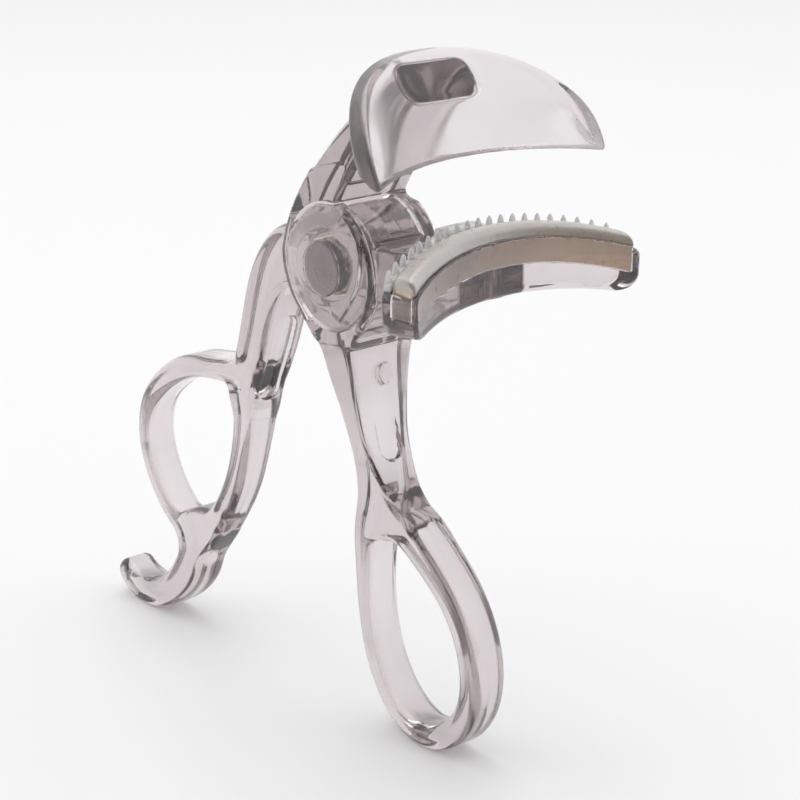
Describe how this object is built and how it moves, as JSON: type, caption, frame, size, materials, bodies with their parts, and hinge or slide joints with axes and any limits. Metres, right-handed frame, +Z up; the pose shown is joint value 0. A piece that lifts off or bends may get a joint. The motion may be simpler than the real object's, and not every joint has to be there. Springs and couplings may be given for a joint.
{
  "type": "eyelash curler",
  "caption": "Scissor-action eyelash curler: curved upper jaw over a silicone-padded lower jaw with a lash comb, two ringed handles crossed on a sprung pin.",
  "frame": {"origin": "middle of the bounding box at table height, with the tool standing on its two handles", "axes": "+Z up the tool towards the upper jaw, -Y out of the jaws towards the eye, X across the jaws along the hinge pin"},
  "size_m": [0.04, 0.0951, 0.0964],
  "materials": {
    "clear_plastic": "polished transparent smoky moulding",
    "pin_plastic": "polished transparent",
    "spring_steel": "bright drawn wire",
    "silicone": "milky translucent satin",
    "comb": "milky translucent"
  },
  "bodies": {
    "upper_lever": {"upper_jaw": "clear_plastic", "upper_arm": "clear_plastic", "left_cheek": "clear_plastic", "right_cheek": "clear_plastic", "handle_root": "clear_plastic", "front_handle": "clear_plastic", "front_finger_ring": "clear_plastic", "pivot_pin": "pin_plastic", "pin_cap": "pin_plastic"},
    "lower_lever": {"torsion_spring": "spring_steel", "knuckle": "clear_plastic", "stop_lug": "clear_plastic", "lower_arm": "clear_plastic", "lower_jaw": "clear_plastic", "lash_pad": "silicone", "comb_rail": "comb", "comb_teeth": "comb", "rear_handle": "clear_plastic", "rear_finger_ring": "clear_plastic", "little_finger_rest": "clear_plastic"}
  },
  "joints": [
    {"name": "squeeze", "type": "hinge", "parent": "upper_lever", "child": "lower_lever", "pos_m": [0, -0.0129, 0.0663], "axis": [-1, 0, 0], "range_deg": [0, 19], "stiffness_Nm_per_rad": 0.3, "springref_deg": -17.19}
  ]
}
